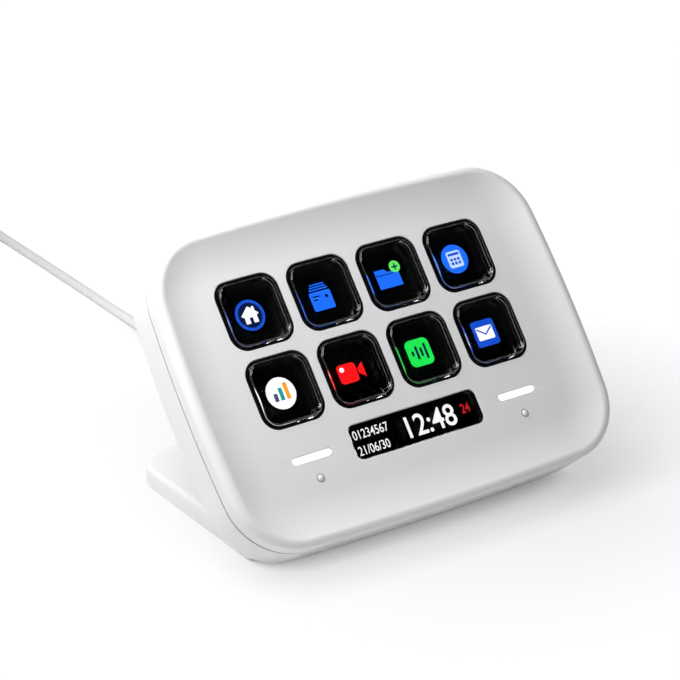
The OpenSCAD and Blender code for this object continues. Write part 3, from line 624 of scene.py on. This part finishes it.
def stand():
    foot = stand_block()
    within = Solid()
    within.prism(body_outline(STAND_INSET), -WITHIN_DEPTH, 0)
    carve(foot, [within.raw("within", [])], "INTERSECT")
    carve(foot, stand_cuts())
    soft = foot.modifiers.new("soft_edges", "BEVEL")
    soft.width = SOFT_R * MM
    soft.segments = 3
    soft.limit_method = "ANGLE"
    soft.angle_limit = math.radians(SOFT_CREASE)
    fixed(foot)
    placed(shaded(foot), "shell", replaces=["stand"])


# ---- Keys ----

def cap(i):
    x, y = key_place(i)

    def row(grow, depth):
        return level(rounded(KEY_W + 2 * grow, KEY_W + 2 * grow, KEY_R + grow, x, y, 12), -depth)

    rows = [row(-SOFT_R, KEY_BOTTOM), row(-SOFT_MID, KEY_BOTTOM - SOFT_MID),
            row(0, KEY_BOTTOM - SOFT_R), row(0, FLANGE_BACK), row(FLANGE_REACH, FLANGE_BACK),
            row(FLANGE_REACH, FLANGE_FRONT), row(0, FLANGE_FRONT)]
    for a in range(0, 91, 10):
        rad = math.radians(a)
        rows.append(row(KEY_EDGE_R * (math.cos(rad) - 1),
                        KEY_EDGE_R * (1 - math.sin(rad)) - KEY_RISE))
    body = Solid()
    loops = body.stack(rows)
    body.lid(loops[0])
    body.lid(loops[-1])
    body.piece(f"clear_cap_{i + 1}", [CLEAR_CAP], slot="clear_cap", body=f"key_{i + 1}",
               replaces=[f"key_cap_{i + 1}"])


front_cover()
back_cover()
outlet_collar()
stand()
for i in range(KEY_COUNT):
    cap(i)


# ---- Glyphs on the screen ----
GLYPH_T = 0.04           # thickness of each layer of a picture
BAR_CORNER_R = 0.02
FIGURE_RATIO = 0.73      # a figure's height over the size of its font
FIGURE_T, FIGURE_LIFT = 0.02, 0.03


def bar(w, h, x, y, r=BAR_CORNER_R):
    return rounded(w, h, r, x, y, 4)


def glyphs(name, parts, x, y):
    """Thin lit shapes on a screen. Each part is (finish, layer, loops), with holes after the
    outer loop."""
    finishes = []
    for finish, _, _ in parts:
        if finish not in finishes:
            finishes.append(finish)
    shapes = Solid()
    for finish, layer, loops in parts:
        low = GLYPH_T * layer
        tops, bottoms = [], []
        for points in loops:
            walls = shapes.stack([level(points, low), level(points, low + GLYPH_T)],
                                 finishes.index(finish))
            bottoms.append(walls[0])
            tops.append(walls[1])
        shapes.fill(tops, 1, finishes.index(finish))
        shapes.fill(bottoms, -1, finishes.index(finish))
    place = FACE @ Matrix.Translation((x, y, -SCREEN_FRONT))
    shapes.piece(name, finishes, place, slot="screen")


def lit(name, r, g, b):
    return glow(name, srgb(r, g, b))


LIT_WHITE = lit("lit_white", 250, 250, 250)
LIT_BLUE = lit("lit_blue", 26, 107, 245)
LIT_DEEP = lit("lit_deep_blue", 20, 76, 200)
LIT_NAVY = lit("lit_navy", 8, 22, 62)
LIT_PALE = lit("lit_pale_blue", 190, 215, 250)
LIT_GREEN = lit("lit_green", 30, 225, 80)
LIT_LIME = lit("lit_lime", 96, 226, 96)
LIT_RED = lit("lit_red", 246, 18, 22)
LIT_SLATE = lit("lit_slate", 60, 78, 110)
LIT_TEAL = lit("lit_teal", 24, 150, 150)
LIT_DULL_RED = lit("lit_dull_red", 190, 25, 35)
LIT_AMBER = lit("lit_amber", 240, 150, 30)
# Painted reflections: glow colours for lit strips that stand in for each picture's light seen
# reflected in its cap's walls
REFLECTION_BLUE = lit("painted_reflection_blue", 24, 74, 200)
REFLECTION_GREEN = lit("painted_reflection_green", 16, 150, 60)
REFLECTION_RED = lit("painted_reflection_red", 190, 18, 22)
REFLECTION_GREY = lit("painted_reflection_grey", 74, 84, 106)


def screen_glyphs():
    house = [(-2.25, 0.15), (-1.9, -0.22), (-1.6, 0.04), (-1.6, -1.9), (-0.45, -1.9),
             (-0.45, -0.55), (0.45, -0.55), (0.45, -1.9), (1.6, -1.9), (1.6, 0.04),
             (1.9, -0.22), (2.25, 0.15), (1.5, 0.82), (1.5, 1.9), (0.9, 1.9), (0.9, 1.35),
             (0, 2.15)]
    folder = [(-3.3, -2.5), (3.1, -2.5), (3.1, 1.3), (0.1, 1.3), (-0.6, 2.1), (-3.3, 2.1)]
    plus = [(-0.18, -0.8), (0.18, -0.8), (0.18, -0.18), (0.8, -0.18), (0.8, 0.18), (0.18, 0.18),
            (0.18, 0.8), (-0.18, 0.8), (-0.18, 0.18), (-0.8, 0.18), (-0.8, -0.18),
            (-0.18, -0.18)]
    flap = [(-2.1, 1.45), (-2.1, 1.0), (0, -0.55), (2.1, 1.0), (2.1, 1.45), (0, -0.1)]
    lens = [(1.85, -0.6), (3.5, -1.8), (3.5, 1.8), (1.85, 0.6)]
    badge = 2.5, 2.1
    days = [bar(0.66, 0.66, x, y) for y in (-0.1, -1.05) for x in (-0.98, 0, 0.98)]
    drawn = [
        [(LIT_DEEP, 0, [circle(3.7, steps=48), circle(3.0, steps=48)]),
         (LIT_NAVY, 0, [circle(3.0, steps=48)]), (LIT_WHITE, 1, [house])],
        [(LIT_BLUE, 0, [bar(5.7, 4.5, 0, -1.1, 0.4), bar(1.9, 0.34, -1.2, 0.1),
                        bar(1.2, 0.34, -1.55, -0.7), circle(0.42, 1.5, -0.3, 16)]),
         (LIT_BLUE, 0, [bar(5.0, 0.3, 0, 1.7)]), (LIT_BLUE, 0, [bar(4.4, 0.3, 0, 2.3)]),
         (LIT_BLUE, 0, [bar(3.8, 0.3, 0, 2.9)])],
        [(LIT_BLUE, 0, [folder]), (LIT_NAVY, 1, [bar(6.4, 0.22, -0.1, 0.75)]),
         (LIT_LIME, 2, [circle(1.45, *badge, 28)]),
         (LIT_NAVY, 3, [[(x + badge[0], y + badge[1]) for x, y in plus]])],
        [(LIT_BLUE, 0, [circle(3.6, steps=48)]), (LIT_PALE, 1, [bar(3.9, 4.1, 0, -0.05, 0.5)]),
         (LIT_DEEP, 2, [bar(3.1, 0.6, 0, 1.2)])] + [(LIT_DEEP, 2, [day]) for day in days],
        [(LIT_WHITE, 0, [circle(3.75, steps=48)]), (LIT_SLATE, 1, [bar(1.0, 1.9, -1.55, -0.75)]),
         (LIT_TEAL, 1, [bar(1.0, 3.0, 0, -0.2)]), (LIT_AMBER, 1, [bar(1.0, 3.9, 1.55, 0.25)])],
        [(LIT_RED, 0, [bar(5.0, 4.6, -0.95, 0, 0.9)]), (LIT_RED, 0, [lens]),
         (LIT_WHITE, 1, [circle(0.6, -2.2, 1.1, 16)])],
        [(LIT_GREEN, 0, [bar(6.5, 6.5, 0, 0, 1.4)])]
        + [(LIT_NAVY, 1, [bar(0.62, h, x, 0, 0.28)])
           for x, h in ((-1.8, 1.3), (-0.6, 3.3), (0.6, 2.2), (1.8, 3.9))],
        [(LIT_DEEP, 0, [bar(6.4, 6.4, 0, 0, 0.7)]), (LIT_WHITE, 1, [bar(4.6, 3.3, 0, 0, 0.3)]),
         (LIT_DEEP, 2, [flap])],
    ]
    # Painted reflection: lit strips under each cap, along its left and lower edges, stand in for
    # the picture's light reflected in the cap's walls
    painted_reflection_strip = ([(-7.8, 5.2)] + arc(-4.3, -4.3, 3.5, 180, 270, 10) + [(3.8, -7.8), (3.8, -7.1)]
                  + arc(-4.3, -4.3, 2.8, 270, 180, 10) + [(-7.1, 5.2)])
    reflection_finishes = [REFLECTION_BLUE] * 4 + [REFLECTION_GREY, REFLECTION_RED, REFLECTION_GREEN, REFLECTION_BLUE]
    for i, parts in enumerate(drawn):
        x, y = key_place(i)
        parts.append((reflection_finishes[i], 0, [painted_reflection_strip]))
        glyphs(f"glyph_{i + 1}", parts, x, y)


def numerals(name, body, finish, height, x, y, narrow, bold):
    """Plain numbers on the small display."""
    text = bpy.data.curves.new(name, "FONT")
    text.body = body
    text.size = height / FIGURE_RATIO
    text.offset = bold
    text.extrude = FIGURE_T
    text.align_x = "LEFT"
    text.align_y = "BOTTOM_BASELINE"
    holder = bpy.data.objects.new(name, text)
    bpy.context.scene.collection.objects.link(holder)
    seen = holder.evaluated_get(bpy.context.evaluated_depsgraph_get())
    mesh = bpy.data.meshes.new_from_object(seen)
    bpy.data.objects.remove(holder)
    mesh.transform(FACE @ Matrix.Translation((x, y, FIGURE_LIFT - INFO_SCREEN))
                   @ Matrix.Diagonal((narrow, 1, 1, 1)))
    mesh.materials.clear()
    mesh.materials.append(finish)
    thing = bpy.data.objects.new(name, mesh)
    bpy.context.scene.collection.objects.link(thing)
    placed(thing, "info_screen")


screen_glyphs()
numerals("digits_large", "12:48", LIT_WHITE, 5.2, -3.6, INFO_Y - 2.5, 0.95, 0.07)
numerals("digits_upper", "01234567", LIT_WHITE, 2.2, -16.4, INFO_Y + 0.75, 0.8, 0.01)
numerals("digits_lower", "21/06/30", LIT_WHITE, 2.2, -16.4, INFO_Y - 3.0, 0.8, 0.01)
numerals("digits_red", "24", LIT_DULL_RED, 2.3, 13.1, INFO_Y - 0.7, 0.8, 0.05)

# ---- Carried-over pieces of the construction ----
FINISHES = {
    BLACK_COLLAR: ["key_grid"],
    BLACK_SCREEN: ["screen_panel", "info_display"],
    SMOKED: ["info_window"],
    LIT_BAR: ["light_pipe_left", "light_pipe_right"],
    SILICONE: ["key_mat"],
    BLACK_FILM: ["contact_sheet"],
    AMBER_FILM: ["screen_flex", "info_flex"],
    DIFFUSER: ["backlight_sheet"],
    TRAY_STEEL: ["screen_tray"],
    STEEL: ["screen_screws", "board_screws", "case_screws", "stand_screws", "relief_clip"],
    HOLDER_BLACK: ["info_holder"],
    LAMP: ["indicator_leds"],
    GOLD_SPRING: ["touch_spring_left", "touch_spring_right"],
    BOARD_GREEN: ["main_board"],
    CHIP_BLACK: ["processor_chip", "memory_chip"],
    IVORY: ["board_connectors"],
    RUBBER: ["foot_pad"],
    WHITE_LEAD: ["inner_lead", "strain_relief", "plug_body"],
    NICKEL: ["plug_shell"],
    TIE_RUBBER: ["coil_tie"],
}
for finish, names in FINISHES.items():
    for name in names:
        mesh = frame["nodes"][name].data
        mesh.materials.clear()
        mesh.materials.append(finish)

# ---- Lead: its route, repeated from the construction, then the coil and the tail ----
RELIEF_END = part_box("strain_relief")[1][1] / MM
LEAD_ROUTE = [
    (0, RELIEF_END, 10.8), (0, 13, 10.7), (0, 18, 10.3), (0, 23, 9.6), (0, 28, 8.6), (0, 33, 7.3),
    (0, 38, 5.8), (0, 43, 4.3), (0, 48, 3), (0.1, 53, 2.1), (0.2, 58, 1.5), (0.3, 64, 1.25),
    (0.4, 71, 1.25), (0.5, 78, 1.25), (0.6, 85, 1.25), (0.7, 92, 1.25), (0.8, 99, 1.25),
    (0.9, 106, 1.25), (1, 113, 1.25), (1, 120, 1.25), (1, 127, 1.25), (1.1, 134, 1.25),
    (1.1, 141, 1.25), (1.1, 148, 1.25), (1.1, 155, 1.25), (1.1, 162, 1.25), (1, 169, 1.25),
    (1, 176, 1.25), (1, 182, 1.25), (1, 187, 1.3), (1, 193, 1.5), (1, 198, 1.75),
]
TAIL_ROUTE = [
    (1, 212, 9.2), (1, 217, 8.1), (1, 222, 6.4), (1, 227, 4.6), (1, 232, 3.3), (1, 237, 2.8),
]
COIL_START = (1, 202, 1.75)
COIL_OUT_R = 19.4
COIL_X, COIL_Y, TIE_T = -17.15, 205.0, 0.5
COIL_LAYERS = 4
COIL_ACROSS = 4          # turns beside each other in a layer
SHIFT_SWEEP, RISE_SWEEP = 120.0, 60.0
STEPS_A_TURN = 24


def coil_route():
    """Turns beside and on each other, a diameter apart. A turn shifts sideways after the one
    next to it, and each layer's shifts come half a turn earlier than those of the layer below."""
    moves = []
    for layer in range(COIL_LAYERS):
        start = 360 - SHIFT_SWEEP - layer * (SHIFT_SWEEP + RISE_SWEEP)
        first_turn = layer * COIL_ACROSS
        inward = -1 if layer % 2 == 0 else 1
        for k in range(COIL_ACROSS - 1):
            moves.append((start + 360 * (first_turn + k), SHIFT_SWEEP, inward, 0))
        if layer < COIL_LAYERS - 1:
            moves.append((start - RISE_SWEEP + 360 * (first_turn + COIL_ACROSS - 1),
                          RISE_SWEEP, 0, 1))
    last = 360 * math.ceil((moves[-1][0] + SHIFT_SWEEP) / 360)
    points = []
    steps = int(last / 360 * STEPS_A_TURN)
    for i in range(1, steps):
        turned = last * i / steps
        r, z = COIL_OUT_R - LEAD_D / 2, TIE_T + LEAD_D / 2
        for begin, sweep, sideways, up in moves:
            t = min(1, max(0, (turned - begin) / sweep))
            eased = t * t * (3 - 2 * t)
            r += sideways * eased * LEAD_D
            z += up * eased * LEAD_D
        a = math.radians(turned)
        points.append((COIL_X + r * math.cos(a), COIL_Y + r * math.sin(a), z))
    return points


def lead():
    route = LEAD_ROUTE + [COIL_START] + coil_route() + TAIL_ROUTE
    curve = bpy.data.curves.new("lead_cord", "CURVE")
    curve.dimensions = "3D"
    curve.bevel_depth = LEAD_D / 2 * MM
    curve.bevel_resolution = 4
    curve.use_fill_caps = True
    curve.resolution_u = 6
    line = curve.splines.new("BEZIER")
    line.bezier_points.add(len(route) - 1)
    for knot, point in zip(line.bezier_points, route):
        knot.co = Vector(point) * MM
        knot.handle_left_type = knot.handle_right_type = "AUTO"
    curve.materials.append(WHITE_LEAD)
    cord = bpy.data.objects.new("lead_cord", curve)
    bpy.context.scene.collection.objects.link(cord)
    placed(cord, "lead", replaces=["lead", "lead_coil", "lead_tail"])


lead()

# ---- Camera, at the photograph's viewing angle ----
CAMERA_AT = (-306.0, -440.29, 277.87)
CAMERA_RIGHT = (0.8252, -0.5648, -0.0067)
CAMERA_UP = (0.2367, 0.3350, 0.9120)
FOCAL_PX = 2552.2
IMAGE_PX = 680
SENSOR = 36.0
NEAREST, FARTHEST = 0.01, 20


def camera():
    data = bpy.data.cameras.new("camera")
    data.sensor_width = SENSOR
    data.lens = FOCAL_PX / IMAGE_PX * SENSOR
    data.clip_start, data.clip_end = NEAREST, FARTHEST
    eye = bpy.data.objects.new("camera", data)
    bpy.context.scene.collection.objects.link(eye)
    right = Vector(CAMERA_RIGHT).normalized()
    back = right.cross(Vector(CAMERA_UP)).normalized()
    turn = Matrix((right, back.cross(right), back)).transposed()
    eye.matrix_world = Matrix.Translation(Vector(CAMERA_AT) * MM) @ turn.to_4x4()
    bpy.context.scene.camera = eye


camera()

# ---- Floor, background and lamps ----
FLOOR_HALF = 4.0
FLOOR_GREY = 0.8         # the floor as it lights the object
FLOOR_SHOWN = 0.15       # the share of the lamps' light and shadow on the floor as it is seen
GLOW_FROM = (-0.1, 0, 0)
GLOW_STEPS = ((0.0, 0.84), (0.05, 0.85), (0.1, 0.873), (0.2, 0.92), (0.3, 0.953), (0.4, 0.97),
              (0.5, 0.983), (1.0, 1.0))     # the seen floor's own glow, by the metres from there
SHADE_REACH = 0.08       # metres from the object over which that glow fades
SHADE_SAMPLES = 16
SHADE_STEPS = ((0.0, 0.45), (0.33, 0.31), (0.65, 0.25), (0.9, 0.14), (1.0, 0.0))    # by openness
CONTACT_STEPS = ((0.0, 0.05), (0.18, 0.8), (0.28, 1.0))    # painted contact shadow: the dark line under an edge
SHADE_ACROSS = (-0.06, 0.06, 0.08, 1.42)    # the shade grows from left to right
SHADE_BEHIND = (0.09, 0.13, 1.0, 0.0)       # and ends behind the object
WORLD_LIGHT = 0.22
CARD_HALF_W, CARD_HALF_H, CARD_AWAY, CARD_LOW = 0.55, 0.35, 0.5, 0.02
LAMP_SIZE = 0.2
LAMP_AIM = (0, 0, 0.035)
LAMPS = {"high_lamp": ((-0.15, -0.15, 0.55), 0.49), "side_lamp": ((-0.45, 0.25, 0.35), 0.42),
         "near_lamp": ((-0.10, 0.02, 0.20), 0.42)}


def cleared(owner):
    """The emptied node tree of a material or of the world."""
    owner.use_nodes = True
    owner.node_tree.nodes.clear()
    return owner.node_tree


def put(tree, kind, *values):
    """A new node. Its sockets, in order, are each linked to an output, set to a value or, for
    None, left as they are."""
    node = tree.nodes.new(kind)
    for socket, value in zip(node.inputs, values):
        if isinstance(value, bpy.types.NodeSocket):
            tree.links.new(value, socket)
        elif value is not None:
            socket.default_value = value
    return node


def calc(tree, operation, a, b):
    node = put(tree, "ShaderNodeMath", a, b)
    node.operation = operation
    return node.outputs[0]


def grey(value):
    return (value, value, value, 1)


def grey_ramp(tree, source, steps):
    ramp = put(tree, "ShaderNodeValToRGB", source)
    stops = ramp.color_ramp.elements
    for i, (place, value) in enumerate(steps):
        stop = stops[i] if i < 2 else stops.new(place)
        stop.position = place
        stop.color = grey(value)
    return ramp.outputs["Color"]


def floor():
    mesh = bpy.data.meshes.new("floor")
    mesh.from_pydata([(x * FLOOR_HALF, y * FLOOR_HALF, 0)
                      for x, y in ((-1, -1), (1, -1), (1, 1), (-1, 1))], [], [(0, 1, 2, 3)])
    ground = bpy.data.objects.new("floor", mesh)
    bpy.context.scene.collection.objects.link(ground)
    made = bpy.data.materials.new("floor_white")
    tree = cleared(made)
    place = put(tree, "ShaderNodeTexCoord").outputs["Object"]
    away = put(tree, "ShaderNodeVectorMath", place, GLOW_FROM)
    away.operation = "DISTANCE"
    near = put(tree, "ShaderNodeAmbientOcclusion", None, SHADE_REACH)
    near.samples = SHADE_SAMPLES
    axes = put(tree, "ShaderNodeSeparateXYZ", place).outputs
    across = put(tree, "ShaderNodeMapRange", axes["X"], *SHADE_ACROSS).outputs["Result"]
    behind = put(tree, "ShaderNodeMapRange", axes["Y"], *SHADE_BEHIND).outputs["Result"]
    # Painted shadow: the floor's own glow is darkened by openness, more to the right and not
    # behind, besides the lamps' real shadow
    dark = calc(tree, "MULTIPLY", grey_ramp(tree, near.outputs["AO"], SHADE_STEPS), across)
    dark = calc(tree, "MULTIPLY", dark, behind)
    strength = calc(tree, "MULTIPLY", grey_ramp(tree, away.outputs["Value"], GLOW_STEPS),
                    calc(tree, "SUBTRACT", 1.0, dark))
    strength = calc(tree, "MULTIPLY", strength,
                    grey_ramp(tree, near.outputs["AO"], CONTACT_STEPS))
    bright = put(tree, "ShaderNodeEmission", None, strength)
    shown = put(tree, "ShaderNodeBsdfDiffuse", grey(FLOOR_SHOWN))
    both = put(tree, "ShaderNodeAddShader", shown.outputs[0], bright.outputs[0])
    matte = put(tree, "ShaderNodeBsdfDiffuse", grey(FLOOR_GREY))
    rays = put(tree, "ShaderNodeLightPath").outputs
    seen = calc(tree, "MAXIMUM", rays["Is Camera Ray"], rays["Is Glossy Ray"])
    pick = put(tree, "ShaderNodeMixShader", seen, matte.outputs[0], both.outputs[0])
    put(tree, "ShaderNodeOutputMaterial", pick.outputs[0])
    mesh.materials.append(made)


def world():
    made = bpy.data.worlds.new("studio")
    bpy.context.scene.world = made
    tree = cleared(made)
    rays = put(tree, "ShaderNodeLightPath").outputs
    seen = calc(tree, "MAXIMUM", rays["Is Camera Ray"], rays["Is Glossy Ray"])
    seen = calc(tree, "MAXIMUM", seen, rays["Is Transmission Ray"])
    dim = put(tree, "ShaderNodeBackground", grey(1), WORLD_LIGHT)
    white = put(tree, "ShaderNodeBackground", grey(1), 1.0)
    pick = put(tree, "ShaderNodeMixShader", seen, dim.outputs[0], white.outputs[0])
    put(tree, "ShaderNodeOutputWorld", pick.outputs[0])


def lamp(name, place, power):
    data = bpy.data.lights.new(name, "AREA")
    data.shape = "DISK"
    data.size = LAMP_SIZE
    data.energy = power
    light = bpy.data.objects.new(name, data)
    bpy.context.scene.collection.objects.link(light)
    light.location = place
    light.rotation_mode = "QUATERNION"
    light.rotation_quaternion = (Vector(LAMP_AIM) - Vector(place)).to_track_quat("-Z", "Y")


def dark_card():
    """A black card before the face, with a wing on its right and one above, that only
    reflections and glass see, so the flat keys look dark."""
    mesh = bpy.data.meshes.new("dark_card")
    w, h, away, low = CARD_HALF_W, CARD_HALF_H, CARD_AWAY, CARD_LOW
    mesh.from_pydata([(-w, -h, away), (w, -h, away), (w, h, away), (-w, h, away),
                      (w, -h, low), (w, h, low), (-w, h, low)], [],
                     [(0, 1, 2, 3), (1, 4, 5, 2), (2, 5, 6, 3)])
    mesh.transform(Matrix.Translation((0, face_y * MM, face_z * MM))
                   @ Matrix.Rotation(tilt, 4, "X"))
    card = bpy.data.objects.new("dark_card", mesh)
    bpy.context.scene.collection.objects.link(card)
    card.visible_camera = False
    card.visible_diffuse = False
    card.visible_shadow = False
    made = bpy.data.materials.new("card_black")
    tree = cleared(made)
    put(tree, "ShaderNodeOutputMaterial", put(tree, "ShaderNodeEmission", None, 0.0).outputs[0])
    mesh.materials.append(made)


floor()
world()
dark_card()
for name, (place, power) in LAMPS.items():
    lamp(name, place, power)
bpy.context.scene.view_settings.view_transform = "Standard"
